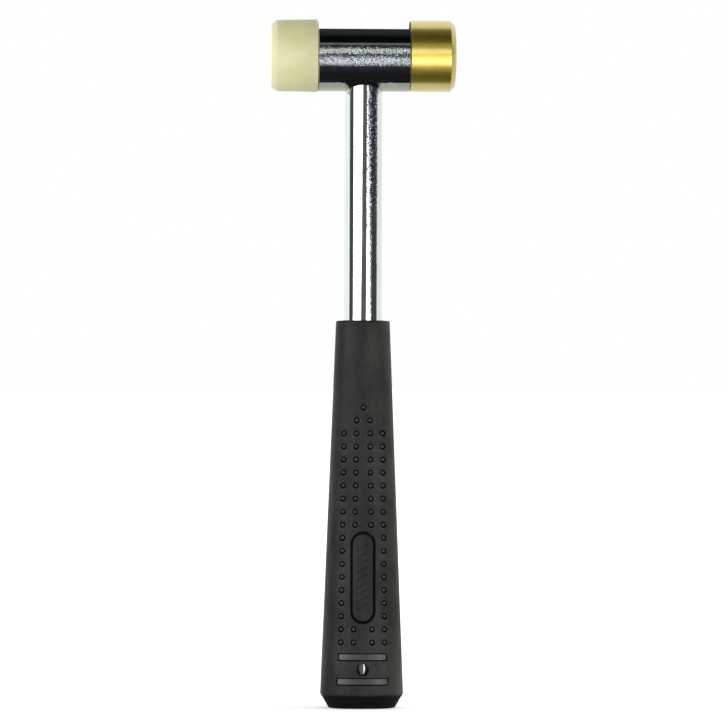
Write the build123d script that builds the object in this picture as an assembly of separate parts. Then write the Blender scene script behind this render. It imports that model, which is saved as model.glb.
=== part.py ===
from build123d import *
import os
from math import cos, pi, radians, sin, tan

# Double-faced soft hammer: a steel head with a screw-on nylon face and a screw-on brass face,
# on a chromed tube with a moulded rubber grip.
# Millimetres. +Z runs up the handle from the butt, +X along the head towards the brass face,
# and the front of the grip looks along -Y. The origin is the centre of the butt.

# ---- head ----
HEAD_AXIS_Z = 232.05
HEAD_DIAMETER = 25.4
BODY_LENGTH = 32.6
BODY_EDGE = 0.25
FLAT_HEIGHT = 8.98

# ---- screw-on faces ----
WASHER_THICKNESS = 0.2
WASHER_OUTER = 24.5
WASHER_INNER = 12.5
FACE_LENGTH = 16.5
SEAT_EDGE = 0.15
BRASS_BEVEL = 1.65
BRASS_BEVEL_EASE = 0.3
BRASS_CROWN_DROP = 0.65
BRASS_FLAT_RADIUS = 4.0
NYLON_INNER_RADIUS = 12.9
NYLON_WALL_END = (14.45, 12.64)
NYLON_END_RADIUS = 11.3
NYLON_BEVEL_EASE = 0.5

# ---- thread of the faces: M12 x 1.75, right-hand ----
THREAD_MAJOR = 12.0
PITCH = 1.75
THREAD_DEPTH = 0.96
FLANK_ANGLE = radians(30)
CREST_FLAT = PITCH / 8
THREAD_GAP = 0.09
STUD_LENGTH = 8.4
STUD_TIP_CHAMFER = 0.9
NECK_LENGTH = 1.2
SOCKET_DEPTH = 8.8
SOCKET_MOUTH_CHAMFER = 0.9

# ---- handle tube and its two plugs ----
TUBE_DIAMETER = 13.4
TUBE_WALL = 1.5
TUBE_BOTTOM_Z = 6.5
TUBE_IN_HEAD = 7.0
TUBE_EDGE = 0.3
EXPANDER_LENGTH = 11.0
END_PLUG_FLANGE = 0.8
END_PLUG_STEM = 6.0
PLUG_CHAMFER = 0.6

# ---- grip: half widths (along X) and half depths (along Y) of its oval sections ----
GRIP_TOP_Z = 137.7
GRIP_SHOULDER_Z = 5.0
BUTT_HALF = (11.85, 8.3)
SHOULDER_HALF = (14.8, 10.8)
TOP_HALF = (9.56, 8.2)
OVAL_POWER = 2.4
OVAL_POINTS = 48
GRIP_TOP_EDGE = 0.6

# ---- moulded features, the same on the front and the back of the grip ----
DIMPLE_TOP_Z = 106.95
DIMPLE_ROW_PITCH = 4.625
DIMPLE_MOUTH_RADIUS = 1.05
DIMPLE_FLOOR_RADIUS = 0.62
DIMPLE_DEPTH = 1.0
DIMPLE_ROWS = 19
INNER_ONLY_ROW = 1
PANEL_ROWS = range(10, 17)
INNER_COLUMN_X = (2.33, 3.3)
OUTER_COLUMN_X = (6.7, 7.75)

PANEL_Z = 46.6
PANEL_WIDTH = 8.9
PANEL_HEIGHT = 32.6
PANEL_DEPTH = 0.8
PANEL_WALL_ANGLE = 40
HATCH_COUNT = 9
HATCH_PITCH = 2.6
HATCH_LENGTH = 4.6
HATCH_WIDTH = 0.9
HATCH_HEIGHT = 0.3
HATCH_ANGLE = 30

BAR_HEIGHT = 2.65
BAR_DEPTH = 0.55
BARS = ((18.5, 17.4), (9.8, 18.4))
LOCATING_HOLE_Z = 14.0
LOCATING_HOLE_DIAMETER = 4.3

# ---- worked out from the above ----
HEAD_RADIUS = HEAD_DIAMETER / 2
SEAT_X = BODY_LENGTH / 2 + WASHER_THICKNESS
TUBE_RADIUS = TUBE_DIAMETER / 2
TUBE_BORE = TUBE_RADIUS - TUBE_WALL
TUBE_TOP_Z = HEAD_AXIS_Z + TUBE_IN_HEAD
FRONT_REACH = 20.0


def outward(side):
    """The frame of one face: origin on its seat, +Z along the head and away from the body."""
    return Plane(origin=(side * SEAT_X, 0, HEAD_AXIS_Z), x_dir=(0, 0, 1), z_dir=(side, 0, 0))


def upright(radius, low, high):
    """A cylinder about +Z between two heights."""
    return Pos(0, 0, (low + high) / 2) * Cylinder(radius, high - low)


# ---- threads ----
def thread_ridge(low, high, gap):
    """The helical ridge of the thread, running past both heights, in step with z = 0."""
    core = THREAD_MAJOR / 2 - THREAD_DEPTH + gap
    crest = THREAD_MAJOR / 2 + gap
    wider = gap / cos(FLANK_ANGLE) - gap * tan(FLANK_ANGLE)
    crest_half = CREST_FLAT / 2 + wider
    sunk = 0.2
    root_half = crest_half + (THREAD_DEPTH + sunk) * tan(FLANK_ANGLE)
    start = PITCH * (low // PITCH - 1)
    outline = Polyline(
        (core - sunk, 0, start - root_half),
        (crest, 0, start - crest_half),
        (crest, 0, start + crest_half),
        (core - sunk, 0, start + root_half),
        close=True,
    )
    path = Helix(PITCH, high - start + PITCH, core, center=(0, 0, start))
    return sweep(make_face(outline), path=path, is_frenet=True)


def threaded_rod(low, high, gap=0.0, tip_chamfer=0.0):
    """A right-hand threaded rod between two heights, larger all round by gap."""
    core = THREAD_MAJOR / 2 - THREAD_DEPTH + gap
    envelope = upright(THREAD_MAJOR / 2 + gap, low, high)
    rod = upright(core, low, high)
    if tip_chamfer:
        envelope = chamfer(envelope.edges().group_by(Axis.Z)[0], tip_chamfer)
        rod = rod & envelope
    return rod + (thread_ridge(low, high, gap) & envelope)


def face_stud():
    """The threaded stud under a face, with a plain neck next to its seat."""
    core = THREAD_MAJOR / 2 - THREAD_DEPTH
    threaded = threaded_rod(-STUD_LENGTH, -NECK_LENGTH, tip_chamfer=STUD_TIP_CHAMFER)
    return threaded + upright(core, -NECK_LENGTH, 0)


# ---- screw-on faces ----
def turned(outline, bevel_from, easing):
    """A cap turned about +Z from its half section, with both edges of its bevel eased."""
    cap = revolve(make_face(outline), Axis.Z)
    rings = cap.edges().filter_by_position(Axis.Z, bevel_from, FACE_LENGTH)
    rings = rings.filter_by(lambda edge: edge.is_closed).sort_by(SortBy.RADIUS)
    return fillet(rings[-2:], easing)


def brass_face():
    """Solid turned brass: plain wall, bevelled rim, an end crowned round a flat middle, stud."""
    crown_edge = FACE_LENGTH - BRASS_CROWN_DROP
    wall_end = crown_edge - BRASS_BEVEL
    flat_edge = (BRASS_FLAT_RADIUS, 0, FACE_LENGTH)
    bevel_end = (HEAD_RADIUS - BRASS_BEVEL, 0, crown_edge)
    sides = Polyline(
        flat_edge,
        (0, 0, FACE_LENGTH),
        (0, 0, 0),
        (HEAD_RADIUS - SEAT_EDGE, 0, 0),
        (HEAD_RADIUS, 0, SEAT_EDGE),
        (HEAD_RADIUS, 0, wall_end),
        bevel_end,
    )
    crown = TangentArc(flat_edge, bevel_end, tangent=(1, 0, 0))
    cap = turned(sides + crown, wall_end, BRASS_BEVEL_EASE)
    return outward(1) * (cap + face_stud())


def nylon_face():
    """Moulded nylon: it tapers a little to a steep bevel round its flat end, and its stud."""
    wall_end, wall_end_radius = NYLON_WALL_END
    outline = Polyline(
        (0, 0, FACE_LENGTH),
        (0, 0, 0),
        (NYLON_INNER_RADIUS - SEAT_EDGE, 0, 0),
        (NYLON_INNER_RADIUS, 0, SEAT_EDGE),
        (wall_end_radius, 0, wall_end),
        (NYLON_END_RADIUS, 0, FACE_LENGTH),
        close=True,
    )
    cap = turned(outline, wall_end, NYLON_BEVEL_EASE)
    return outward(-1) * (cap + face_stud())


def face_washer(side):
    """The thin washer between a face and the head."""
    ring = upright(WASHER_OUTER / 2, -WASHER_THICKNESS, 0)
    ring -= upright(WASHER_INNER / 2, -WASHER_THICKNESS, 0)
    return outward(side) * ring


# ---- head ----
def face_socket(side):
    """The threaded socket that a face screws into, as a solid to cut away."""
    core = THREAD_MAJOR / 2 - THREAD_DEPTH
    mouth = Pos(0, 0, -SOCKET_MOUTH_CHAMFER / 2) * Cone(
        core, core + 2 * SOCKET_MOUTH_CHAMFER, SOCKET_MOUTH_CHAMFER
    )
    end = -WASHER_THICKNESS
    hole = threaded_rod(end - SOCKET_DEPTH, end, gap=THREAD_GAP)
    return outward(side) * (hole + Pos(0, 0, end) * mouth)


def head_body():
    """The steel barrel, flat on top, with a socket in each end and a blind bore from below."""
    round_bar = Rot(0, 90, 0) * Cylinder(HEAD_RADIUS, BODY_LENGTH)
    below_flat = Pos(0, 0, FLAT_HEIGHT - HEAD_RADIUS) * Box(
        BODY_LENGTH, HEAD_DIAMETER, HEAD_DIAMETER
    )
    barrel = Pos(0, 0, HEAD_AXIS_Z) * (round_bar & below_flat)
    ends = barrel.edges().group_by(Axis.X)
    barrel = chamfer(ends[0] + ends[-1], BODY_EDGE)
    barrel -= upright(TUBE_RADIUS, HEAD_AXIS_Z - HEAD_DIAMETER, TUBE_TOP_Z)
    for side in (-1, 1):
        barrel -= face_socket(side)
    return barrel


# ---- handle tube ----
def handle_tube():
    """The chromed tube, from inside the head down into the grip."""
    tube = upright(TUBE_RADIUS, TUBE_BOTTOM_Z, TUBE_TOP_Z)
    ends = tube.edges().filter_by(GeomType.CIRCLE)
    tube = chamfer(ends, TUBE_EDGE)
    return tube - upright(TUBE_BORE, TUBE_BOTTOM_Z, TUBE_TOP_Z)


def tube_expander():
    """The plug driven into the top of the tube, which holds the tube tight in the head."""
    plug = upright(TUBE_BORE, TUBE_TOP_Z - EXPANDER_LENGTH, TUBE_TOP_Z)
    return chamfer(plug.edges().group_by(Axis.Z)[0], PLUG_CHAMFER)


def tube_end_plug():
    """The flanged plug that closes the bottom of the tube."""
    stem = upright(TUBE_BORE, TUBE_BOTTOM_Z, TUBE_BOTTOM_Z + END_PLUG_STEM)
    stem = chamfer(stem.edges().group_by(Axis.Z)[-1], PLUG_CHAMFER)
    return stem + upright(TUBE_RADIUS, TUBE_BOTTOM_Z - END_PLUG_FLANGE, TUBE_BOTTOM_Z)


# ---- grip ----
def oval(half_width, half_depth, z):
    """A flattened oval section, |x/a|^n + |y/b|^n = 1."""
    points = []
    for i in range(OVAL_POINTS):
        turn = 2 * pi * i / OVAL_POINTS
        across = abs(cos(turn) / half_width) ** OVAL_POWER
        deep = abs(sin(turn) / half_depth) ** OVAL_POWER
        reach = (across + deep) ** (-1 / OVAL_POWER)
        points.append((reach * cos(turn), reach * sin(turn)))
    return Pos(0, 0, z) * make_face(Spline(points, periodic=True))


def grip_form(inset=0.0):
    """The tapered part of the grip, from its shoulder up, made smaller all round by inset."""
    sections = (
        oval(SHOULDER_HALF[0] - inset, SHOULDER_HALF[1] - inset, GRIP_SHOULDER_Z),
        oval(TOP_HALF[0] - inset, TOP_HALF[1] - inset, GRIP_TOP_Z),
    )
    return loft(sections, ruled=True)


def grip_blank():
    """The grip before its moulded features: taper, chamfered butt and eased top rim."""
    taper = grip_form()
    taper = fillet(taper.edges().group_by(Axis.Z)[-1], GRIP_TOP_EDGE)
    butt = loft((oval(*BUTT_HALF, 0), oval(*SHOULDER_HALF, GRIP_SHOULDER_Z)), ruled=True)
    return taper + butt


def half_depth_at(x, z):
    """How far the grip's surface stands in front of its axis at (x, z)."""
    share = (z - GRIP_SHOULDER_Z) / (GRIP_TOP_Z - GRIP_SHOULDER_Z)
    half_width = SHOULDER_HALF[0] + share * (TOP_HALF[0] - SHOULDER_HALF[0])
    half_depth = SHOULDER_HALF[1] + share * (TOP_HALF[1] - SHOULDER_HALF[1])
    return half_depth * (1 - abs(x / half_width) ** OVAL_POWER) ** (1 / OVAL_POWER)


def dimple_places():
    """(x, z) of each dimple: one at the point, two under it, then rows of four and of two."""
    places = []
    for row in range(DIMPLE_ROWS):
        down = row / (DIMPLE_ROWS - 1)
        z = DIMPLE_TOP_Z - row * DIMPLE_ROW_PITCH
        inner = INNER_COLUMN_X[0] + down * (INNER_COLUMN_X[1] - INNER_COLUMN_X[0])
        outer = OUTER_COLUMN_X[0] + down * (OUTER_COLUMN_X[1] - OUTER_COLUMN_X[0])
        if row == 0:
            columns = (0.0,)
        elif row == INNER_ONLY_ROW:
            columns = (-inner, inner)
        elif row in PANEL_ROWS:
            columns = (-outer, outer)
        else:
            columns = (-outer, -inner, inner, outer)
        places += [(x, z) for x in columns]
    return places


def front_dimples():
    """The drafted dimples of one side, drawn straight out along -Y."""
    over = 1.0
    slope = (DIMPLE_MOUTH_RADIUS - DIMPLE_FLOOR_RADIUS) / DIMPLE_DEPTH
    cutter = Cone(
        DIMPLE_FLOOR_RADIUS, DIMPLE_MOUTH_RADIUS + slope * over, DIMPLE_DEPTH + over
    )
    cutter = Rot(90, 0, 0) * Pos(0, 0, (DIMPLE_DEPTH + over) / 2) * cutter
    return [Pos(x, DIMPLE_DEPTH - half_depth_at(x, z), z) * cutter for x, z in dimple_places()]


def from_front(z):
    """A plane across the grip's axis at height z, facing the front, with its X along +X."""
    return Plane(origin=(0, 0, z), x_dir=(1, 0, 0), z_dir=(0, -1, 0))


def front_panel():
    """The long recessed panel, its walls sloped and its floor following the grip."""
    floor_offset = -PANEL_DEPTH * tan(radians(PANEL_WALL_ANGLE))
    level = half_depth_at(0, PANEL_Z) - PANEL_DEPTH
    outline = Rot(0, 0, 90) * SlotOverall(
        PANEL_HEIGHT + 2 * floor_offset, PANEL_WIDTH + 2 * floor_offset
    )
    recess = extrude(from_front(PANEL_Z) * Pos(0, 0, level) * outline, 3, taper=-PANEL_WALL_ANGLE)
    behind = extrude(from_front(PANEL_Z) * Pos(0, 0, level) * outline, -2)
    return recess + behind


def front_hatch():
    """Slanted raised strips on the floor of the panel."""
    strip = Rot(0, 0, HATCH_ANGLE) * SlotOverall(HATCH_LENGTH, HATCH_WIDTH)
    first = PANEL_Z - HATCH_PITCH * (HATCH_COUNT - 1) / 2
    heights = [first + i * HATCH_PITCH for i in range(HATCH_COUNT)]
    return [extrude(from_front(z) * strip, FRONT_REACH) for z in heights]


def front_bars():
    """The two recessed bars across the grip near its butt."""
    return [
        extrude(from_front(z) * Rectangle(width, BAR_HEIGHT), FRONT_REACH) for z, width in BARS
    ]


def locating_hole():
    """The hole through to the tube, left by the pin that held the tube in the mould."""
    return extrude(from_front(LOCATING_HOLE_Z) * Circle(LOCATING_HOLE_DIAMETER / 2), FRONT_REACH)


def grip():
    """The moulded rubber grip, with the same features on the front and the back."""
    panel_floor = grip_form(PANEL_DEPTH)
    cuts = front_dimples()
    cuts += [front_panel() - panel_floor]
    cuts += [bar - grip_form(BAR_DEPTH) for bar in front_bars()]
    cuts += [locating_hole()]
    raised = grip_form(PANEL_DEPTH - HATCH_HEIGHT) - grip_form(PANEL_DEPTH + 1)
    hatch = [strip & raised for strip in front_hatch()]
    body = grip_blank()
    for turn in (0, 180):
        body -= [Rot(0, 0, turn) * cut for cut in cuts]
        body += [Rot(0, 0, turn) * strip for strip in hatch]
    return body - upright(TUBE_RADIUS, TUBE_BOTTOM_Z - END_PLUG_FLANGE, GRIP_TOP_Z)


# ---- one STEP file for each node ----
NODES = {
    "head_body": head_body,
    "brass_face": brass_face,
    "brass_face_washer": lambda: face_washer(1),
    "nylon_face": nylon_face,
    "nylon_face_washer": lambda: face_washer(-1),
    "handle_tube": handle_tube,
    "tube_expander": tube_expander,
    "tube_end_plug": tube_end_plug,
    "grip": grip,
}

os.makedirs("parts", exist_ok=True)
for name, build in NODES.items():
    export_step(build(), f"parts/{name}.step")
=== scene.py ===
from functools import reduce
from math import acos, atan2, ceil, cos, floor, pi, radians, sin, sqrt, tan

import bmesh
import bpy
from mathutils import Euler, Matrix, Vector


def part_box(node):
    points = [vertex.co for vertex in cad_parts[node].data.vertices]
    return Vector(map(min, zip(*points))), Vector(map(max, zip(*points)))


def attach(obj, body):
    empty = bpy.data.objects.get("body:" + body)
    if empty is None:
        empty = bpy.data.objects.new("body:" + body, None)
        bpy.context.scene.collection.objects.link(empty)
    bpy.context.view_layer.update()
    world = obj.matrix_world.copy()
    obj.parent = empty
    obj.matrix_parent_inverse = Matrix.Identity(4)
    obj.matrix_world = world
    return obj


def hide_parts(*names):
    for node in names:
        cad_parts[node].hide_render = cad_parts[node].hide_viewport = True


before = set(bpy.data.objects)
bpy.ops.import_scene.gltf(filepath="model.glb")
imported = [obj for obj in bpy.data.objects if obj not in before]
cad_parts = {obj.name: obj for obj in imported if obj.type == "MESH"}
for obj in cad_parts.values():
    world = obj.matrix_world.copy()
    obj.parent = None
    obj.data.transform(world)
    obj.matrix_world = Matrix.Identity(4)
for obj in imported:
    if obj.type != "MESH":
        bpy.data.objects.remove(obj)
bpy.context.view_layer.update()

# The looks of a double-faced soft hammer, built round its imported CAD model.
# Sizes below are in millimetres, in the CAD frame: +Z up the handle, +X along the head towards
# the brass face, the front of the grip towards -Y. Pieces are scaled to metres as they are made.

MM = 0.001


def box_mm(node):
    """The lowest and highest corners of a CAD node, in millimetres."""
    low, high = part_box(node)
    return low / MM, high / MM


# ---- places and sizes read from the frame ----
head_high = box_mm("head_body")[1]
face_low, face_high = box_mm("brass_face")
tube_low, tube_high = box_mm("handle_tube")
HEAD_Z = (face_low.z + face_high.z) / 2
HEAD_R = (face_high.z - face_low.z) / 2
BODY_HALF = head_high.x
FLAT_HEIGHT = head_high.z - HEAD_Z
SEAT_X = box_mm("brass_face_washer")[1].x
FACE_LENGTH = face_high.x - SEAT_X
STUD_LENGTH = SEAT_X - face_low.x
WASHER_THICKNESS = SEAT_X - BODY_HALF
WASHER_R = box_mm("brass_face_washer")[1].y
TUBE_R = tube_high.x
TUBE_LOW, TUBE_TOP = tube_low.z, tube_high.z
BORE_LOW = box_mm("tube_end_plug")[0].z
GRIP_TOP = box_mm("grip")[1].z

# ---- sizes shared with the CAD source ----
BODY_EDGE = 0.25
BRASS_BEVEL = 1.65
BRASS_BEVEL_EASE = 0.3
BRASS_CROWN_DROP = 0.65
BRASS_FLAT_R = 4.0
NYLON_INNER_R = 12.9
NYLON_WALL_END = (14.45, 12.64)
NYLON_END_R = 11.3
NYLON_BEVEL_EASE = 0.5
SEAT_EDGE = 0.15
WASHER_BORE = 6.25
THREAD_CREST = 6.0
PITCH = 1.75
THREAD_DEPTH = 0.96
THREAD_GAP = 0.09
FLANK_ANGLE = radians(30)
NECK_LENGTH = 1.2
TIP_CHAMFER = 0.9
SOCKET_DEPTH = 8.8
SOCKET_MOUTH = 0.7
TUBE_BORE = 5.2

SHOULDER_Z = 5.0
SHOULDER_HALF = (14.8, 10.8)
TOP_HALF = (9.56, 8.2)
OVAL_POWER = 2.4
TOP_EDGE = 0.6
# (height, half width, half depth) of the butt, down from just above its shoulder
BUTT_RINGS = (
    (SHOULDER_Z + 0.12, 14.77, 10.78), (SHOULDER_Z - 0.25, 14.63, 10.67),
    (SHOULDER_Z - 0.7, 14.35, 10.43), (3.2, 13.62, 9.8), (1.8, 12.89, 9.19),
    (0.62, 12.2, 8.59), (0.25, 11.94, 8.38), (0.06, 11.7, 8.15), (0.0, 11.4, 7.85),
    (0.0, 8.5, 5.6), (0.0, 4.0, 2.6),
)

DIMPLE_TOP_Z = 106.95
DIMPLE_PITCH = 4.625
DIMPLE_ROWS = 19
DIMPLE_DEPTH = 1.0
FIRST_FULL_ROW = 2
PANEL_ROWS = (10, 16)
# half distances of the dimples' inner and outer columns, in the top row and the bottom row
INNER_X = (2.33, 3.3)
OUTER_X = (6.7, 7.75)
PANEL_Z = 46.6
PANEL_SIZE = (8.9, 32.6)
PANEL_DEPTH = 0.8
HATCH_COUNT = 9
HATCH_PITCH = 2.6
HATCH_SIZE = (4.6, 0.9)
HATCH_ANGLE = radians(30)
UPPER_BAR = (18.5, 17.4)
LOWER_BAR = (9.8, 18.4)
BAR_HEIGHT = 2.65
BAR_DEPTH = 0.55
HOLE_Z = 14.0
HOLE_R = 2.15

AROUND = 128
TURNS = [2 * pi * i / AROUND for i in range(AROUND)]


# ---- meshes ----
def mix(a, b, share):
    return a + (b - a) * share


def add_object(name, data):
    obj = bpy.data.objects.new(name, data)
    bpy.context.scene.collection.objects.link(obj)
    return obj


class Shell:
    """Points in millimetres and faces between them, which become one piece.

    Each point's polish and painted shade says how the rubber looks there: 1 on the smoothest
    floors, 0 on plain skin and -1 on the walls of recesses, where shade is painted dark."""

    def __init__(self):
        self.points = []
        self.faces = []
        self.polish_and_painted_shade = {}

    def add(self, points):
        first = len(self.points)
        self.points += points
        return list(range(first, len(self.points)))

    def sheet(self, a, b):
        """Quads between two open rows of as many points each."""
        for i in range(len(a) - 1):
            self.faces.append((a[i], a[i + 1], b[i + 1], b[i]))

    def bridge(self, a, b):
        """Quads between two closed loops of as many points each."""
        for i in range(len(a)):
            j = (i + 1) % len(a)
            self.faces.append((a[i], a[j], b[j], b[i]))

    def chain(self, loops):
        """Quads along a row of closed loops. The last loop is returned."""
        for a, b in zip(loops, loops[1:]):
            self.bridge(a, b)
        return loops[-1]

    def fan(self, loop, centre):
        """Triangles from a closed loop to a point."""
        (middle,) = self.add([centre])
        for i in range(len(loop)):
            self.faces.append((loop[i], loop[(i + 1) % len(loop)], middle))

    def piece(self, name, body, node, material, sharp=radians(32)):
        """Makes the object, in metres, riding on its body in place of its CAD node."""
        mesh = bpy.data.meshes.new(name)
        mesh.from_pydata([[c * MM for c in p] for p in self.points], [], self.faces)
        # each point's polish and painted shade goes on the mesh, for the rubber's material to read
        polish_and_painted_shade = mesh.attributes.new("polish_and_painted_shade", "FLOAT", "POINT")
        values = [self.polish_and_painted_shade.get(i, 0.0) for i in range(len(self.points))]
        polish_and_painted_shade.data.foreach_set("value", values)
        work = bmesh.new()
        work.from_mesh(mesh)
        bmesh.ops.remove_doubles(work, verts=work.verts, dist=1e-6)
        bmesh.ops.dissolve_degenerate(work, edges=work.edges, dist=1e-7)
        bmesh.ops.recalc_face_normals(work, faces=work.faces)
        for face in work.faces:
            face.smooth = True
        for edge in work.edges:
            edge.smooth = len(edge.link_faces) == 2 and edge.calc_face_angle() < sharp
        work.to_mesh(mesh)
        work.free()
        mesh.materials.append(material)
        obj = add_object(name, mesh)
        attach(obj, body)
        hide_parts(node)


def eased_corner(before, corner, after, radius, steps=5):
    """Points of the arc that rounds the corner of a profile."""
    before, corner, after = Vector(before), Vector(corner), Vector(after)
    to_before, to_after = (before - corner).normalized(), (after - corner).normalized()
    half = to_before.angle(to_after) / 2
    centre = corner + (to_before + to_after).normalized() * radius / sin(half)
    reach = radius / tan(half)
    first, last = corner + to_before * reach - centre, corner + to_after * reach - centre
    arms = [first.lerp(last, i / steps).normalized() for i in range(steps + 1)]
    return [tuple(centre + arm * radius) for arm in arms]


def turned(side, axial, radius, turn):
    """A point of a face's own frame: axial is out from its seat, turn is about the head."""
    return (side * (SEAT_X + axial), -side * radius * sin(turn), HEAD_Z + radius * cos(turn))


def turned_loops(shell, side, profile):
    """A closed loop about the head's axis for each (axial, radius) of a profile."""
    return [shell.add([turned(side, a, r, t) for t in TURNS]) for a, r in profile]


# ---- threads ----
def crest_half(gap):
    """Half the width of the thread's flat crest, with a gap added all over its surface."""
    return PITCH / 16 + gap / cos(FLANK_ANGLE) - gap * tan(FLANK_ANGLE)


def thread_radius(axial, turn, gap):
    """The radius of the thread's surface at one place."""
    core, crest = THREAD_CREST - THREAD_DEPTH + gap, THREAD_CREST + gap
    off = (axial - PITCH * turn / (2 * pi) + PITCH / 2) % PITCH - PITCH / 2
    fall = (abs(off) - crest_half(gap)) / tan(FLANK_ANGLE)
    return min(crest, max(core, crest - fall))


def thread_loops(shell, side, low, high, gap, limit):
    """The thread between two places along the axis, as (its loop at low, its loop at high).

    The rows of points follow the ridge, and gather at both ends, where they merge.
    limit(axial, radius) trims the radius, for the chamfer of a tip or of a mouth."""
    crest = crest_half(gap)
    root = crest + THREAD_DEPTH * tan(FLANK_ANGLE)
    offsets = (-root, -crest, crest, root)
    first, last = floor(low / PITCH) - 2, ceil(high / PITCH) + 1
    columns = []
    for turn in TURNS:
        points = []
        for lap in range(first, last + 1):
            for offset in offsets:
                axial = PITCH * (turn / (2 * pi) + lap) + offset
                axial = min(high, max(low, axial))
                radius = limit(axial, thread_radius(axial, turn, gap))
                points.append(turned(side, axial, radius, turn))
        columns.append(shell.add(points))
    for a, b in zip(columns, columns[1:]):
        shell.sheet(a, b)
    # the ridge is a lap further along where the last column meets the first
    lap_rows = len(offsets)
    shell.sheet(columns[-1][:-lap_rows], columns[0][lap_rows:])
    return [c[0] for c in columns], [c[-1] for c in columns]


def add_stud(shell, side):
    """The stud under a face. Returns the loop where its neck meets the seat."""
    core = THREAD_CREST - THREAD_DEPTH

    def chamfered(axial, radius):
        return min(radius, THREAD_CREST - TIP_CHAMFER + axial + STUD_LENGTH)

    tip, top = thread_loops(shell, side, -STUD_LENGTH, -NECK_LENGTH, 0.0, chamfered)
    shell.fan(tip, turned(side, -STUD_LENGTH, 0, 0))
    neck, seat = turned_loops(shell, side, [(-NECK_LENGTH, core), (0, core)])
    shell.chain([top, neck, seat])
    return seat


# ---- screw-on faces ----
def straight(a, b, steps):
    """Points of a profile between two, without the first."""
    return [(mix(a[0], b[0], i / steps), mix(a[1], b[1], i / steps)) for i in range(1, steps + 1)]


def brass_profile():
    """Plain wall, bevelled rim, and an end crowned round a flat middle."""
    crown_edge = FACE_LENGTH - BRASS_CROWN_DROP
    corner = (crown_edge - BRASS_BEVEL, HEAD_R)
    bevel_end = (crown_edge, HEAD_R - BRASS_BEVEL)
    reach = bevel_end[1] - BRASS_FLAT_R
    radius = (reach**2 + BRASS_CROWN_DROP**2) / (2 * BRASS_CROWN_DROP)
    outs = [reach * share for share in (0.8, 0.6, 0.4, 0.2, 0.0)]
    crown = [(FACE_LENGTH - radius + sqrt(radius**2 - out**2), BRASS_FLAT_R + out) for out in outs]
    before_bevel = 0.4
    wall = straight((SEAT_EDGE, HEAD_R), (corner[0] - before_bevel, HEAD_R), 6)
    wall += eased_corner(wall[-1], corner, bevel_end, BRASS_BEVEL_EASE)
    return wall + eased_corner(corner, bevel_end, crown[0], BRASS_BEVEL_EASE) + crown


def nylon_profile():
    """A wall that tapers a little, a steep bevel and a flat end."""
    end = (FACE_LENGTH, NYLON_END_R)
    seat = (SEAT_EDGE, NYLON_INNER_R)
    wall = straight(seat, NYLON_WALL_END, 7)[:-1]
    wall += eased_corner(seat, NYLON_WALL_END, end, NYLON_BEVEL_EASE)
    return wall + eased_corner(NYLON_WALL_END, end, (FACE_LENGTH, 0), NYLON_BEVEL_EASE)


def screw_on_face(name, side, wall, inner, node, material):
    """A face: its stud, its seat with a broken edge, and its wall and end from a profile."""
    shell = Shell()
    seat = add_stud(shell, side)
    profile = [(0, (THREAD_CREST + inner) / 2), (0, inner - SEAT_EDGE), (SEAT_EDGE, inner)]
    end, rim = wall[-1]
    profile += wall + [(end, rim * share) for share in (0.8, 0.5, 0.2)]
    last = shell.chain([seat] + turned_loops(shell, side, profile))
    shell.fan(last, turned(side, FACE_LENGTH, 0, 0))
    shell.piece(name, node, node, material)


def face_washer(name, side, body, node, material):
    """The thin washer between a face and the head, its outer edge eased."""
    ease = WASHER_THICKNESS / 4
    profile = [(0, WASHER_BORE), (0, WASHER_R - ease), (-ease, WASHER_R)]
    profile += [(-WASHER_THICKNESS - axial, radius) for axial, radius in profile[::-1]]
    shell = Shell()
    loops = turned_loops(shell, side, profile)
    shell.chain(loops + loops[:1])
    shell.piece(name, body, node, material)


# ---- head ----
def barrel_point(x, turn, inset=0.0):
    """A point of the barrel's outline, which is cut flat on top."""
    radius = HEAD_R - inset
    height = min(radius * cos(turn), FLAT_HEIGHT - inset)
    return (x, -radius * sin(turn), HEAD_Z + height)


def barrel_below(x, y):
    """The point of the barrel's underside straight below (x, y)."""
    return (x, y, HEAD_Z - sqrt(HEAD_R**2 - y**2))


def add_tube_bore(shell, boundary):
    """The underside round the tube, from a square patch's boundary to the bore, and the bore."""
    edge = 0.12
    plan = [shell.points[i][:2] for i in boundary]
    angles = [atan2(y, x) for x, y in plan]
    loops = [boundary]
    for share in (0.3, 0.55, 0.75, 0.88, 0.96, 1.0):
        ring = []
        for (x, y), a in zip(plan, angles):
            hole_x, hole_y = (TUBE_R + edge) * cos(a), (TUBE_R + edge) * sin(a)
            ring.append(barrel_below(mix(x, hole_x, share), mix(y, hole_y, share)))
        loops.append(shell.add(ring))
    mouth = [barrel_below(TUBE_R * cos(a), TUBE_R * sin(a)) for a in angles]
    loops.append(shell.add([(x, y, z + edge) for x, y, z in mouth]))
    loops.append(shell.add([(x, y, TUBE_TOP) for x, y, z in mouth]))
    shell.fan(shell.chain(loops), (0, 0, TUBE_TOP))


def barrel_turns():
    """Even turns round the barrel, but for those beside the two edges of its flat."""
    turns = TURNS[:]
    edge = round(acos(FLAT_HEIGHT / HEAD_R) / (2 * pi) * AROUND)
    close = 0.008
    for i, beside in ((edge - 1, -close), (edge + 1, close)):
        turns[i] = turns[edge] + beside
        turns[-i] = -turns[i] + 2 * pi
    return turns


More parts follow.
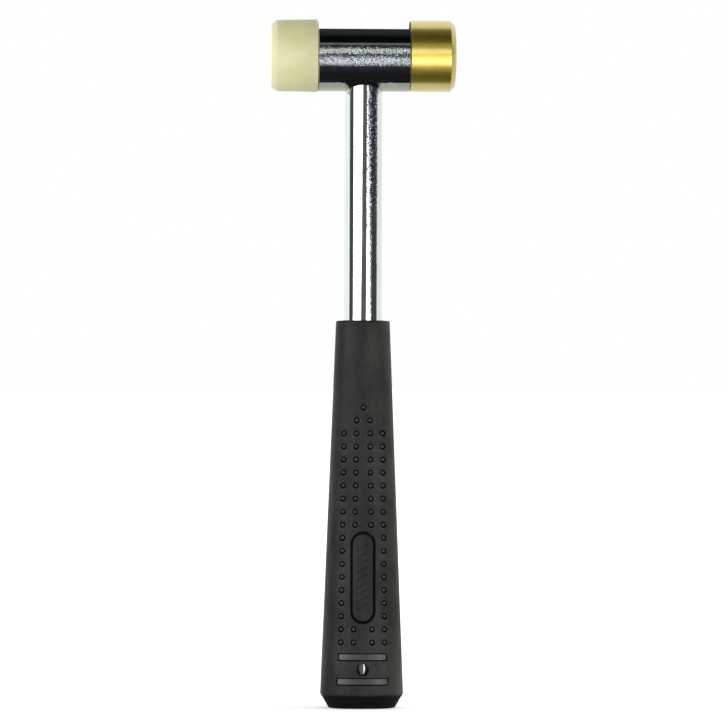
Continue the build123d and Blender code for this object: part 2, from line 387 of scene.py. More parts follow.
def head_body(material):
    """The barrel: a structured wall with the tube's bore in its underside, and two sockets."""
    shell = Shell()
    quarter = AROUND // 8
    bottom = AROUND // 2
    patch_half = 9.0
    end_inset = HEAD_R * 0.24
    wall_end = BODY_HALF - BODY_EDGE
    inside = [patch_half * (i / quarter - 1) for i in range(2 * quarter + 1)]
    outside = [mix(patch_half, wall_end, i / 4) for i in range(1, 5)]
    stations = [-x for x in reversed(outside)] + inside + outside
    turns = barrel_turns()
    grid = [shell.add([barrel_point(x, t) for t in turns]) for x in stations]
    first, last = len(outside), len(outside) + 2 * quarter
    low, high = bottom - quarter, bottom + quarter
    for s, (a, b) in enumerate(zip(grid, grid[1:])):
        if first <= s < last:
            shell.sheet(a[: low + 1], b[: low + 1])
            shell.sheet(a[high:] + a[:1], b[high:] + b[:1])
        else:
            shell.bridge(a, b)
    boundary = [grid[s][low] for s in range(first, last)]
    boundary += [grid[last][i] for i in range(low, high)]
    boundary += [grid[s][high] for s in range(last, first, -1)]
    boundary += [grid[first][i] for i in range(high, low, -1)]
    add_tube_bore(shell, boundary)

    mouth_radius = THREAD_CREST - THREAD_DEPTH + 2 * SOCKET_MOUTH
    mouth = -WASHER_THICKNESS

    def countersunk(axial, radius):
        return max(radius, mouth_radius - 2 * (mouth - axial))

    for side, end in ((1, grid[-1]), (-1, grid[0])):
        rim = shell.add([barrel_point(side * BODY_HALF, t, BODY_EDGE) for t in turns])
        inner = shell.add([barrel_point(side * BODY_HALF, t, end_inset) for t in turns])
        shell.chain([end, rim, inner])
        if side < 0:
            inner = [inner[-i % AROUND] for i in range(AROUND)]
        bottom_loop, mouth_loop = thread_loops(
            shell, side, mouth - SOCKET_DEPTH, mouth, THREAD_GAP, countersunk
        )
        shell.fan(bottom_loop, turned(side, mouth - SOCKET_DEPTH, 0, 0))
        shell.bridge(inner, mouth_loop)
    shell.piece("head_barrel", "head", "head_body", material)


# ---- handle tube ----
def handle_tube(material):
    """The tube, outside and inside, with eased ends."""
    ease, steps = 0.3, 16
    wall = [(mix(TUBE_LOW + ease, TUBE_TOP - ease, i / steps), TUBE_R) for i in range(steps + 1)]
    profile = [(TUBE_LOW, TUBE_R - ease)] + wall
    profile += [(TUBE_TOP, TUBE_R - ease), (TUBE_TOP, TUBE_BORE), (TUBE_LOW, TUBE_BORE)]
    shell = Shell()
    loops = [shell.add([(r * cos(t), r * sin(t), z) for t in TURNS]) for z, r in profile]
    shell.chain(loops + loops[:1])
    shell.piece("chrome_handle_tube", "head", "handle_tube", material)


# ---- grip ----
FRONT, BACK = -1, 1


class OvalWall:
    """A wall whose sections are ovals, |x/a|^n + |y/b|^n = 1, with one grid front and back.

    Columns cross the front and the back, evenly within each strip between two of lines(z).
    Others go round each side. The cells of both grids are filled plainly or hold a feature."""

    def __init__(self, shell, half_sizes, power, lines, strip_steps, side_steps, heights):
        self.shell, self.half_sizes, self.power = shell, half_sizes, power
        self.lines, self.strip_steps, self.side_steps = lines, strip_steps, side_steps
        self.heights = heights
        self.grid = {}
        for k, z in enumerate(heights):
            xs = self.columns(z)
            for face in (FRONT, BACK):
                points = [(x, face * self.depth_at(x, z), z) for x in xs]
                self.grid[face, k] = shell.add(points)
        self.sides = [self.side_columns(k) for k in range(len(heights))]

    def columns(self, z):
        lines = self.lines(z)
        xs = [lines[0]]
        for a, b in zip(lines, lines[1:]):
            xs += [mix(a, b, (i + 1) / self.strip_steps) for i in range(self.strip_steps)]
        return xs

    def depth_at(self, x, z):
        """How far the wall stands from the XZ plane at (x, z)."""
        a, b = self.half_sizes(z)
        return b * (1 - abs(x / a) ** self.power) ** (1 / self.power)

    def around(self, turn, a, b, z):
        """The point at a turn about the Z axis, on an oval of half sizes a and b."""
        reach = abs(cos(turn) / a) ** self.power + abs(sin(turn) / b) ** self.power
        reach **= -1 / self.power
        return (reach * cos(turn), reach * sin(turn), z)

    def side_columns(self, k):
        """The inner columns of the two sides at one height: the right side, then the left."""
        z = self.heights[k]
        a, b = self.half_sizes(z)
        edge = self.lines(z)[-1]
        turn = atan2(self.depth_at(edge, z), edge)
        shares = [i / self.side_steps for i in range(1, self.side_steps)]
        right = [self.around(mix(-turn, turn, s), a, b, z) for s in shares]
        left = [self.around(pi + mix(-turn, turn, s), a, b, z) for s in shares]
        return self.shell.add(right), self.shell.add(left)

    def loop(self, k):
        """All points at one height, round from the left end of the front."""
        right, left = self.sides[k]
        return self.grid[FRONT, k] + right + self.grid[BACK, k][::-1] + left

    def turns(self, loop):
        """Where the points of a loop are, as turns about the Z axis."""
        return [atan2(self.shell.points[v][1], self.shell.points[v][0]) for v in loop]

    def side_rows(self, k):
        front, back = self.grid[FRONT, k], self.grid[BACK, k]
        right, left = self.sides[k]
        return front[-1:] + right + back[-1:], back[:1] + left + front[:1]

    def fill_sides(self):
        for k in range(len(self.heights) - 1):
            for a, b in zip(self.side_rows(k), self.side_rows(k + 1)):
                self.shell.sheet(a, b)

    def plain(self, face, columns, rows):
        """Fills a block of cells plainly."""
        first, last = columns
        for k in range(*rows):
            a, b = self.grid[face, k], self.grid[face, k + 1]
            self.shell.sheet(a[first : last + 1], b[first : last + 1])

    def feature(self, face, columns, rows, place, rings, level=None):
        """Fills a block of cells with rings of points, from its boundary in to its middle.

        place(x, z, size) puts a boundary point on the outline of that size. Each ring is
        (size, sunk, polish and painted shade), -1 painting shade dark on a wall. sunk is a depth
        under the wall, or with level, a share of the way from the wall to y = level. Returns the
        last ring."""
        (i0, i1), (k0, k1) = columns, rows
        boundary = [self.grid[face, k0][i] for i in range(i0, i1)]
        boundary += [self.grid[face, k][i1] for k in range(k0, k1)]
        boundary += [self.grid[face, k1][i] for i in range(i1, i0, -1)]
        boundary += [self.grid[face, k][i0] for k in range(k1, k0, -1)]
        edge = [(self.shell.points[v][0], self.shell.points[v][2]) for v in boundary]
        loops = [boundary]
        for size, sunk, polish_and_painted_shade in rings:
            ring = []
            for at_x, at_z in edge:
                x, z = place(at_x, at_z, size)
                y = self.depth_at(x, z)
                y = y - sunk if level is None else mix(y, level, sunk)
                ring.append((x, face * y, z))
            loops.append(self.shell.add(ring))
            self.shell.polish_and_painted_shade.update({v: polish_and_painted_shade for v in loops[-1]})
        return self.shell.chain(loops)


def grip_half_sizes(z):
    share = (z - SHOULDER_Z) / (GRIP_TOP - SHOULDER_Z)
    return tuple(mix(low, high, share) for low, high in zip(SHOULDER_HALF, TOP_HALF))


def dimple_columns(z):
    """The half distances of the inner and outer columns of dimples at a height."""
    down = (DIMPLE_TOP_Z - z) / (DIMPLE_PITCH * (DIMPLE_ROWS - 1))
    return mix(*INNER_X, down), mix(*OUTER_X, down)


def grip_lines(z):
    inner, outer = dimple_columns(z)
    between = (inner + outer) / 2
    edge = 2 * outer - between
    return [-edge, -between, 0, between, edge]


def on_circle(mid_x, mid_z):
    def place(x, z, size):
        reach = sqrt((x - mid_x) ** 2 + (z - mid_z) ** 2)
        return mid_x + (x - mid_x) * size / reach, mid_z + (z - mid_z) * size / reach
    return place


def on_capsule(mid_z, half_line):
    def place(x, z, size):
        middle = min(mid_z + half_line, max(mid_z - half_line, z))
        reach = sqrt(x**2 + (z - middle) ** 2)
        return x * size / reach, middle + (z - middle) * size / reach
    return place


def on_rectangle(wall, low, high, mid_z, half_width, half_height):
    """Places for a bar: a boundary point goes to the same share of the bar's outline."""
    def place(x, z, size):
        across = x / wall.lines(z)[-1]
        up = (z - low) / (high - low) * 2 - 1
        return across * (half_width + size), mid_z + up * (half_height + size)
    return place


# Rings of the grip's features, as (size, sunk, polish and painted shade); -1 paints shade dark on
# the walls of recesses.
FLOOR_POLISH = 1.0
BAR_POLISH = 0.7
LIP_POLISH = 0.3
# a dimple's lip stands a little proud of the wall
DIMPLE_RINGS = (
    (1.55, 0.0, 0), (1.42, -0.02, 0), (1.3, -0.055, LIP_POLISH), (1.2, -0.05, LIP_POLISH),
    (1.13, 0.02, 0), (1.07, 0.12, -1), (1.01, 0.32, -1), (0.93, 0.6, -1), (0.82, 0.84, -1),
    (0.68, 0.96, -1), (0.54, 1.0, 0), (0.38, 1.0, FLOOR_POLISH), (0.16, 1.0, FLOOR_POLISH),
)
# the floors of the bars and of the panel have a fine groove along the foot of their walls
BAR_RINGS = (
    (0.2, 0.0, 0), (0.1, 0.0, 0), (0.03, 0.05, -1), (-0.03, 0.4, -1), (-0.09, 0.68, -1),
    (-0.22, 0.7, -1), (-0.32, BAR_DEPTH, 0), (-0.42, BAR_DEPTH, BAR_POLISH),
)
PANEL_RINGS = (
    (4.68, 0.0, 0), (4.56, 0.0, 0), (4.46, 0.1, -1), (4.36, 0.5, -1), (4.24, 0.95, -1),
    (4.05, 1.12, -1), (3.82, 1.08, -1), (3.66, 0.9, -1),
    *((size, PANEL_DEPTH, 0) for size in (3.5, 3.1, 2.2, 1.1, 0.02)),
)
# the -1 rings paint shade dark down the locating hole and on its way into the bore
HOLE_RINGS = ((2.45, 0.0, 0), (2.32, 0.0, 0), (2.22, 0.02, -1), (HOLE_R, 0.06, -1))
BORE_RINGS = ((2.8, 0, 0), (HOLE_R, 0, -1))
# (inset, height over the panel's floor, polish and painted shade) of a strip; -1 paints shade dark
# at its foot
HATCH_RINGS = ((-0.06, -0.1, -1), (0.0, 0.05, -1), (0.1, 0.24, 0), (0.2, 0.3, 0))


def add_dimple(wall, face, columns, rows, x, z):
    level = wall.depth_at(x, z) - DIMPLE_DEPTH
    last = wall.feature(face, columns, rows, on_circle(x, z), DIMPLE_RINGS, level)
    wall.shell.fan(last, (x, face * level, z))
    wall.shell.polish_and_painted_shade[len(wall.shell.points) - 1] = FLOOR_POLISH


def add_hatch(wall, face):
    """Slanted strips that stand up from the panel's floor."""
    length, width = HATCH_SIZE
    first = PANEL_Z - HATCH_PITCH * (HATCH_COUNT - 1) / 2
    half, steps = (length - width) / 2, 8
    shell = wall.shell
    for n in range(HATCH_COUNT):
        loops = []
        for inset, height, polish_and_painted_shade in HATCH_RINGS:
            ring = []
            for end, start in ((half, -pi / 2), (-half, pi / 2)):
                for i in range(steps + 1):
                    turn = start + pi * i / steps
                    u = (width / 2 - inset) * cos(turn) + end
                    v = (width / 2 - inset) * sin(turn)
                    x = u * cos(HATCH_ANGLE) - v * sin(HATCH_ANGLE)
                    z = first + n * HATCH_PITCH + u * sin(HATCH_ANGLE) + v * cos(HATCH_ANGLE)
                    ring.append((x, face * (wall.depth_at(x, z) - PANEL_DEPTH + height), z))
            loops.append(shell.add(ring))
            shell.polish_and_painted_shade.update({v: polish_and_painted_shade for v in loops[-1]})
        top = shell.chain(loops)
        shell.faces += [tuple(top), tuple(loops[0][::-1])]


# The bands of the grip's grid, upwards: a bar, the locating hole, a bar, and the dimples' rows.
LOWER_BAR_BAND, HOLE_BAND, UPPER_BAR_BAND, BOTTOM_DIMPLE_BAND = range(4)
BAND_STEPS = 6


def dimple_band(row):
    """The band of a row of dimples. Rows are counted from the top."""
    return BOTTOM_DIMPLE_BAND + DIMPLE_ROWS - 1 - row


def band_rows(low, high=None):
    """The first and the last row of a band's grid, or of the grid from one band to another."""
    return BAND_STEPS * low, BAND_STEPS * ((low if high is None else high) + 1)


def grip_heights():
    """The heights of the grip's grid."""
    wall_foot, hole_low, hole_high = SHOULDER_Z + 0.5, 11.45, 16.6
    bands = [wall_foot, hole_low, hole_high]
    bands += [DIMPLE_TOP_Z - DIMPLE_PITCH * (row + 0.5) for row in range(DIMPLE_ROWS - 1, -1, -1)]
    bands += [DIMPLE_TOP_Z + DIMPLE_PITCH / 2]
    # the two bands next to the panel give it a little of their height
    given = 0.55
    bands[dimple_band(PANEL_ROWS[1])] -= given
    bands[dimple_band(PANEL_ROWS[0]) + 1] += given
    heights = [bands[0]]
    for low, high in zip(bands, bands[1:]):
        heights += [mix(low, high, (i + 1) / BAND_STEPS) for i in range(BAND_STEPS)]
    plain_steps = 10
    plain = range(1, plain_steps + 1)
    return heights + [mix(bands[-1], GRIP_TOP - TOP_EDGE, i / plain_steps) for i in plain]


def fill_face(wall, face):
    """The front or the back of the grip: bars, locating hole, dimples and panel.

    Returns the innermost ring of the locating hole."""
    strip = wall.strip_steps
    whole, middle = (0, 4 * strip), (strip, 3 * strip)
    cells = [(i * strip, (i + 1) * strip) for i in range(4)]
    for (z, width), band in ((UPPER_BAR, UPPER_BAR_BAND), (LOWER_BAR, LOWER_BAR_BAND)):
        rows = band_rows(band)
        low, high = wall.heights[rows[0]], wall.heights[rows[1]]
        place = on_rectangle(wall, low, high, z, width / 2, BAR_HEIGHT / 2)
        last = wall.feature(face, whole, rows, place, BAR_RINGS)
        add_bar_floor(wall, face, last, whole, rows)
    rows = band_rows(HOLE_BAND)
    wall.plain(face, cells[0], rows)
    wall.plain(face, cells[3], rows)
    hole = wall.feature(face, middle, rows, on_circle(0, HOLE_Z), HOLE_RINGS)
    for row in range(DIMPLE_ROWS):
        z = DIMPLE_TOP_Z - DIMPLE_PITCH * row
        inner, outer = dimple_columns(z)
        rows = band_rows(dimple_band(row))
        for cell, x in ((cells[0], -outer), (cells[3], outer)):
            if row >= FIRST_FULL_ROW:
                add_dimple(wall, face, cell, rows, x, z)
            else:
                wall.plain(face, cell, rows)
        if row == 0:
            add_dimple(wall, face, middle, rows, 0, z)
        elif not PANEL_ROWS[0] <= row <= PANEL_ROWS[1]:
            add_dimple(wall, face, cells[1], rows, -inner, z)
            add_dimple(wall, face, cells[2], rows, inner, z)
    rows = band_rows(dimple_band(PANEL_ROWS[1]), dimple_band(PANEL_ROWS[0]))
    width, height = PANEL_SIZE
    wall.feature(face, middle, rows, on_capsule(PANEL_Z, (height - width) / 2), PANEL_RINGS)
    add_hatch(wall, face)
    wall.plain(face, whole, (band_rows(dimple_band(0))[1], len(wall.heights) - 1))
    return hole


def add_bar_floor(wall, face, loop, columns, rows):
    """Closes a bar's floor with strips that follow the grip's curve."""
    across = columns[1] - columns[0]
    up = rows[1] - rows[0]
    bottom = loop[: across + 1]
    right = loop[across : across + up + 1]
    top = [loop[(across + up + i) % len(loop)] for i in range(across + 1)][::-1]
    left = [loop[(2 * across + up + i) % len(loop)] for i in range(up + 1)][::-1]
    shell = wall.shell
    lines = [bottom]
    for k in range(1, up):
        line = [left[k]]
        for i in range(1, across):
            low, high = shell.points[bottom[i]], shell.points[top[i]]
            x, z = mix(low[0], high[0], k / up), mix(low[2], high[2], k / up)
            line += shell.add([(x, face * (wall.depth_at(x, z) - BAR_DEPTH), z)])
        line.append(right[k])
        shell.polish_and_painted_shade.update({v: BAR_POLISH for v in line})
        lines.append(line)
    lines.append(top)
    for a, b in zip(lines, lines[1:]):
        shell.sheet(a, b)


def close_butt(wall):
    """The rounded shoulder, the sloped sides of the butt and its flat end."""
    loops = [wall.loop(0)]
    for z, a, b in BUTT_RINGS:
        ring = [wall.around(t, a, b, z) for t in wall.turns(loops[0])]
        loops.append(wall.shell.add(ring))
    wall.shell.fan(wall.shell.chain(loops), (0, 0, 0))


def add_top_rim(wall):
    """The rounded top edge and the end, in to a low lip round the tube. Returns the last loop."""
    loops = [wall.loop(len(wall.heights) - 1)]
    turns = wall.turns(loops[0])
    a, b = TOP_HALF
    steps = 5
    for i in range(1, steps + 1):
        turn = pi / 2 * i / steps
        inset, z = TOP_EDGE * (1 - cos(turn)), GRIP_TOP - TOP_EDGE + TOP_EDGE * sin(turn)
        loops.append(wall.shell.add([wall.around(t, a - inset, b - inset, z) for t in turns]))
    lip = 0.14
    for outset, rise in ((0.55, 0.0), (0.38, lip), (0.14, lip)):
        radius, z = TUBE_R + outset, GRIP_TOP + rise
        loops.append(wall.shell.add([(radius * cos(t), radius * sin(t), z) for t in turns]))
    return wall.shell.chain(loops)


def add_grip_bore(shell, holes, rim):
    """The bore for the tube, from the top rim down, with the holes of both faces led into it."""
    steps, steps_above, side_steps = 6, 8, 24
    patch_half, patch_rise, below_patch = 4.2, 3.9, 7.6
    patch_low, patch_high = HOLE_Z - patch_rise, HOLE_Z + patch_rise
    heights = [BORE_LOW, below_patch]
    heights += [mix(patch_low, patch_high, i / steps) for i in range(steps + 1)]
    heights += [mix(patch_high, GRIP_TOP, i / steps_above) for i in range(1, steps_above + 1)]
    bore = OvalWall(
        shell, lambda z: (TUBE_R, TUBE_R), 2, lambda z: (-patch_half, 0, patch_half),
        steps, side_steps, heights,
    )
    bore.fill_sides()
    whole, patch, top = (0, 2 * steps), (2, 2 + steps), len(heights) - 1
    for face in (FRONT, BACK):
        bore.plain(face, whole, (0, patch[0]))
        bore.plain(face, whole, (patch[1], top))
        inner = bore.feature(face, whole, patch, on_circle(0, HOLE_Z), BORE_RINGS)
        shell.bridge(holes[face], inner)
    shell.bridge(rim, bore.loop(top))
    shell.fan(bore.loop(0), (0, 0, BORE_LOW))


def grip(material):
    """The moulded grip: outer wall with its features, butt, top rim and bore for the tube."""
    shell = Shell()
    strip_steps, side_steps = 6, 12
    wall = OvalWall(
        shell, grip_half_sizes, OVAL_POWER, grip_lines, strip_steps, side_steps, grip_heights()
    )
    wall.fill_sides()
    holes = {face: fill_face(wall, face) for face in (FRONT, BACK)}
    close_butt(wall)
    add_grip_bore(shell, holes, add_top_rim(wall))
    shell.piece("rubber_grip", "head", "grip", material, sharp=radians(60))


# ---- materials ----
class Nodes:
    """Short ways to add nodes to a tree, for materials and for the world."""

    def __init__(self, tree):
        self.tree = tree

    def own(self, kind):
        """The node of a kind that the tree came with."""
        return next(n for n in self.tree.nodes if n.type == kind)

    def set(self, node, inputs):
        """Sets a node's inputs, by name or number, to a value or another node's output."""
        for key, value in inputs.items():
            socket = node.inputs[key]
            if isinstance(value, bpy.types.NodeSocket):
                self.tree.links.new(value, socket)
            else:
                socket.default_value = (*value, 1.0) if socket.type == "RGBA" else value

    def node(self, kind, inputs=None, **settings):
        made = self.tree.nodes.new("ShaderNode" + kind)
        for name, value in settings.items():
            setattr(made, name, value)
        self.set(made, inputs or {})
        return made

    def between(self, value, low, high, to_low=0.0, to_high=1.0, smooth=False):
        """to_low at low and below, to_high at high and above, and a ramp in between."""
        inputs = {"From Min": low, "From Max": high, "To Min": to_low, "To Max": to_high}
        inputs["Value"] = value
        kind = "SMOOTHSTEP" if smooth else "LINEAR"
        return self.node("MapRange", inputs, interpolation_type=kind).outputs["Result"]

    def blend(self, share, a, b):
        """A colour between two."""
        return self.node("Mix", {0: share, 6: a, 7: b}, data_type="RGBA").outputs[2]

    def maths(self, operation, a, b=0.0):
        return self.node("Math", {0: a, 1: b}, operation=operation).outputs[0]

    def add(self, *values):
        return reduce(lambda a, b: self.maths("ADD", a, b), values)

    def times(self, *values):
        return reduce(lambda a, b: self.maths("MULTIPLY", a, b), values)


class Look(Nodes):
    """A node material with one Principled shader."""

    def __init__(self, name, colour, roughness, **inputs):
        self.material = bpy.data.materials.new(name)
        self.material.use_nodes = True
        super().__init__(self.material.node_tree)
        self.shader = self.own("BSDF_PRINCIPLED")
        self.set(self.shader, {"Base Color": colour, "Roughness": roughness, **inputs})

    def finish(self, **inputs):
        self.set(self.shader, {k.replace("_", " "): v for k, v in inputs.items()})
        return self.material

    def place(self):
        """The place on the object, in metres."""
        return self.node("TexCoord").outputs["Object"]

    def part(self, axis):
        """One coordinate of the place on the object, in millimetres."""
        parts = self.node("SeparateXYZ", {"Vector": self.place()}).outputs
        return self.times(parts[axis], 1 / MM)

    def from_axis(self):
        """The distance from the head's axis in millimetres."""
        y, up = self.part("Y"), self.maths("SUBTRACT", self.part("Z"), HEAD_Z)
        return self.maths("SQRT", self.add(self.times(y, y), self.times(up, up)))

    def noise(self, size, scale=(1, 1, 1), detail=2.0, roughness=0.5, offset=(0, 0, 0)):
        """Noise with features about size millimetres across, longer where scale is small."""
        inputs = {"Vector": self.place(), "Scale": [s / MM for s in scale], "Location": offset}
        place = self.node("Mapping", inputs).outputs["Vector"]
        inputs = {"Vector": place, "Scale": 1 / size, "Detail": detail, "Roughness": roughness}
        return self.node("TexNoise", inputs).outputs["Fac"]

    def bump(self, height, distance, **inputs):
        """The surface's normal with a height laid on it, which is distance millimetres at 1."""
        inputs.update({"Height": height, "Distance": distance * MM})
        return self.node("Bump", inputs).outputs["Normal"]

    def around(self, axis="X"):
        """The direction round an axis: X for what is turned in the head, Z for the tube."""
        return self.node("Tangent", direction_type="RADIAL", axis=axis).outputs["Tangent"]

    def scaled(self, vector, scale):
        inputs = {0: vector, "Scale": scale}
        return self.node("VectorMath", inputs, operation="SCALE").outputs["Vector"]

    def tilted(self, *tilts):
        """The surface's normal, tilted by each (direction, grain about 0.5, amount)."""
        normal = self.node("NewGeometry").outputs["Normal"]
        for direction, grain, amount in tilts:
            reach = self.times(self.maths("SUBTRACT", grain, 0.5), amount)
            part = self.scaled(direction, reach)
            normal = self.node("VectorMath", {0: normal, 1: part}, operation="ADD").outputs[0]
        return self.node("VectorMath", {0: normal}, operation="NORMALIZE").outputs[0]


def chrome_look():
    """Bright plated tube: drawing marks, smears, and pits towards the brass face up high."""
    look = Look("bright_chrome", (0.76, 0.78, 0.77), 0.08, Metallic=1.0)
    smears = look.noise(9, scale=(1, 1, 0.35), detail=3)
    lines = look.noise(0.5, scale=(1, 1, 0.03), detail=2)
    grain = look.noise(0.4, detail=2, roughness=0.7)
    flecks = look.between(look.noise(0.36, detail=1, offset=(5, 3, 11)), 0.38, 0.54)
    across, height = look.part("X"), look.part("Z")
    pitted = look.times(
        look.between(height, 125, 205),
        look.between(across, 0.8, 2.0),
        look.between(across, 4.1, 4.9, 1.0, 0.0),
    )
    plated = look.blend(look.between(smears, 0.35, 0.7), (0.74, 0.77, 0.755), (0.80, 0.815, 0.81))
    pit = (0.15, 0.18, 0.28)
    colour = look.blend(look.times(pitted, flecks), plated, pit)
    roughness = look.between(smears, 0.3, 0.75, 0.03, 0.09)
    normal = look.tilted(
        (look.around("Z"), grain, look.add(0.05, look.times(pitted, 1.4))),
        (look.around("Z"), lines, 0.04),
    )
    return look.finish(Base_Color=colour, Roughness=roughness, Normal=normal)


def steel_look():
    """Polished barrel, with a band of fine grain along its front and back, its specks partly
    painted glints, and reflection tints and shade painted into its colour by height.
    """
    look = Look("polished_turned_steel", (0.47, 0.485, 0.49), 0.1, Metallic=1.0)
    fine = look.noise(0.37, detail=1)
    cross = look.noise(0.37, detail=1, offset=(31, 17, 5))
    flecks = look.noise(0.35, detail=1, roughness=0.7, offset=(7, 41, 23))
    lines = look.noise(0.16, scale=(1, 0.02, 0.02), detail=2)
    clouds = look.noise(5, detail=3)
    height = look.maths("SUBTRACT", look.part("Z"), HEAD_Z)
    band = look.times(
        look.between(height, 2.2, 3.4, 1.0, 0.12), look.between(height, -7.0, -2.5, 0.15, 1.0)
    )
    # painted reflection tints by height: cooler above the axis, and a darker strip painted as
    # shade along the bottom
    painted_reflection_tint = look.blend(look.between(height, -2.5, 2.5), (0.95, 0.985, 0.96), (0.86, 1.0, 0.99))
    painted_reflection_tint = look.blend(look.between(height, -9.5, -8.0), (0.86, 0.9, 0.76), painted_reflection_tint)
    # grain and painted glints: the band's light and dark specks are partly the plating's grain,
    # partly painted glints of the lights
    grain_and_painted_glints = look.times(band, look.between(flecks, 0.38, 0.62, -0.38, 0.3))
    shade = look.add(look.between(clouds, 0.3, 0.7, 0.44, 0.5), grain_and_painted_glints)
    colour = look.scaled(painted_reflection_tint, shade)
    roughness = look.between(clouds, 0.3, 0.7, 0.05, 0.08)
    along = (1, 0, 0)
    normal = look.tilted(
        (look.around(), fine, look.times(band, 0.27)),
        (along, cross, look.times(band, 0.5)),
        (along, lines, 0.1),
    )
    return look.finish(Base_Color=colour, Roughness=roughness, Normal=normal)


def brass_look():
    """Satin turned brass: tool marks round it and, as rings, on its end, tarnish and pores."""
    look = Look(
        "turned_brass", (0.80, 0.66, 0.16), 0.38, Metallic=1.0,
        **{"Coat Weight": 1.0, "Coat IOR": 2.5, "Coat Roughness": 0.16},
    )
    streaks = {"Anisotropic": 0.5, "Anisotropic Rotation": 0.25, "Tangent": look.around()}
    look.set(look.shader, streaks)
    lines = look.noise(0.3, scale=(1, 0.04, 0.04), detail=3, roughness=0.6)
    grain = look.noise(0.45, scale=(1, 0.4, 0.4), detail=3, roughness=0.7)
    pores = look.between(look.noise(0.6, detail=3, roughness=0.7), 0.56, 0.68, 0.0, 0.65)
    tarnish = look.noise(3.5, detail=4, roughness=0.65)
    ring_pitch = 0.35
    rings = look.maths("SINE", look.times(look.from_axis(), 2 * pi / ring_pitch))
    clean = look.blend(look.between(tarnish, 0.4, 0.72), (0.77, 0.585, 0.06), (0.68, 0.51, 0.045))
    pore = (0.42, 0.31, 0.06)
    colour = look.blend(pores, clean, pore)
    roughness = look.between(grain, 0.3, 0.7, 0.41, 0.5)
    normal = look.bump(look.add(lines, look.times(grain, 0.35), look.times(rings, 0.06)), 0.009)
    return look.finish(Base_Color=colour, Roughness=roughness, Normal=normal)


def nylon_look():
    """Natural nylon: cream, slightly mottled, light soaking into it, with a painted glow at its
    end and painted shade towards the head.
    """
    look = Look("natural_nylon", (0.54, 0.53, 0.29), 0.42, **{
        "Subsurface Weight": 0.55,
        "Subsurface Radius": (1.0, 0.95, 0.55),
        "Subsurface Scale": 0.003,
    })
    mottle = look.noise(6, detail=4, roughness=0.6)
    grain = look.noise(0.6, detail=3, roughness=0.6)
    lines = look.noise(0.4, scale=(1, 0.05, 0.05), detail=2)
    clean = look.blend(look.between(mottle, 0.35, 0.7), (0.49, 0.475, 0.235), (0.55, 0.535, 0.285))
    along = look.part("X")
    # painted light: the end is whitened as a glow, and the wall darkens towards the head as
    # painted shade
    painted_end_glow, painted_shade_near_head = (0.55, 0.545, 0.325), (0.37, 0.37, 0.22)
    colour = look.blend(look.between(along, -33, -27, smooth=True), painted_end_glow, clean)
    colour = look.blend(look.between(along, -27, -17, 0.0, 0.5), colour, painted_shade_near_head)
    roughness = look.between(grain, 0.3, 0.7, 0.34, 0.5)
    normal = look.bump(look.add(grain, look.times(lines, 0.6)), 0.015)
    return look.finish(Base_Color=colour, Roughness=roughness, Normal=normal)


def rubber_look():
    """Black moulded rubber: matt skin, clouded and specked, smoother in its recesses, with shade
    painted dark on the walls of its recesses and on its butt.
    """
    look = Look("moulded_rubber", (0.012, 0.012, 0.0115), 0.6, **{"Specular IOR Level": 0.2})
    skin = look.noise(0.35, detail=4, roughness=0.65)
    waves = look.noise(7, scale=(1, 1, 0.6), detail=2)
    bloom = look.noise(9, scale=(1, 1, 0.35), detail=5, roughness=0.65)
    specks = look.between(look.noise(0.9, detail=3, roughness=0.7), 0.54, 0.68, 0.0, 0.65)
    polish_and_painted_shade = look.node("Attribute", attribute_name="polish_and_painted_shade").outputs["Fac"]
    # painted shade: the butt, which turns down, and the walls of recesses are darkened nearly to
    # black, with less shine
    butt = look.between(look.part("Z"), 4.2, 5.4, 1.0, 0.0)
    painted_shade = look.maths("MAXIMUM", butt, look.between(polish_and_painted_shade, -1, 0, 1.0, 0.0))
    smooth = look.between(polish_and_painted_shade, 0, 1)
    bloomed = look.between(bloom, 0.4, 0.66)
    skin_colour = look.blend(bloomed, (0.0065, 0.0064, 0.005), (0.0155, 0.0153, 0.0115))
    skin_colour = look.blend(specks, skin_colour, (0.022, 0.021, 0.017))
    colour = look.blend(painted_shade, skin_colour, (0.003, 0.003, 0.003))
    roughness = look.add(
        look.between(skin, 0.3, 0.7, 0.42, 0.54),
        look.between(bloomed, 0.0, 1.0, 0.06, -0.02),
        look.times(smooth, -0.28),
        look.times(painted_shade, 0.2),
    )
    shine = look.add(look.between(painted_shade, 0.0, 1.0, 0.2, 0.05), look.times(smooth, 0.5))
    normal = look.bump(waves, 0.14, Normal=look.bump(skin, 0.05))
    return look.finish(
        Base_Color=colour, Roughness=roughness, Specular_IOR_Level=shine, Normal=normal
    )


def fibre_look():
    """Dark pressed fibre of the washers."""
    look = Look("dark_fibre", (0.03, 0.028, 0.026), 0.8)
    strands = look.noise(0.3, detail=4, roughness=0.7)
    share = look.between(strands, 0.35, 0.7)
    colour = look.blend(share, (0.02, 0.02, 0.019), (0.06, 0.053, 0.045))
    return look.finish(Base_Color=colour, Normal=look.bump(strands, 0.04))


def plug_look():
    """Plain turned steel of the two plugs."""
    look = Look("turned_plug_steel", (0.42, 0.42, 0.43), 0.35, Metallic=1.0)
    lines = look.noise(0.4, scale=(0.1, 0.1, 1), detail=3)
    colour = look.blend(look.between(lines, 0.3, 0.7), (0.36, 0.36, 0.37), (0.5, 0.5, 0.5))
    roughness = look.between(lines, 0.3, 0.7, 0.28, 0.45)
    return look.finish(Base_Color=colour, Roughness=roughness, Normal=look.bump(lines, 0.02))


# ---- stage ----
PANEL_RADIANCE = 3.2
PANEL_FOOT_RADIANCE = 1.9 * PANEL_RADIANCE
MIDDLE_RADIANCE = 1.05
GAP_SHARE = 0.04


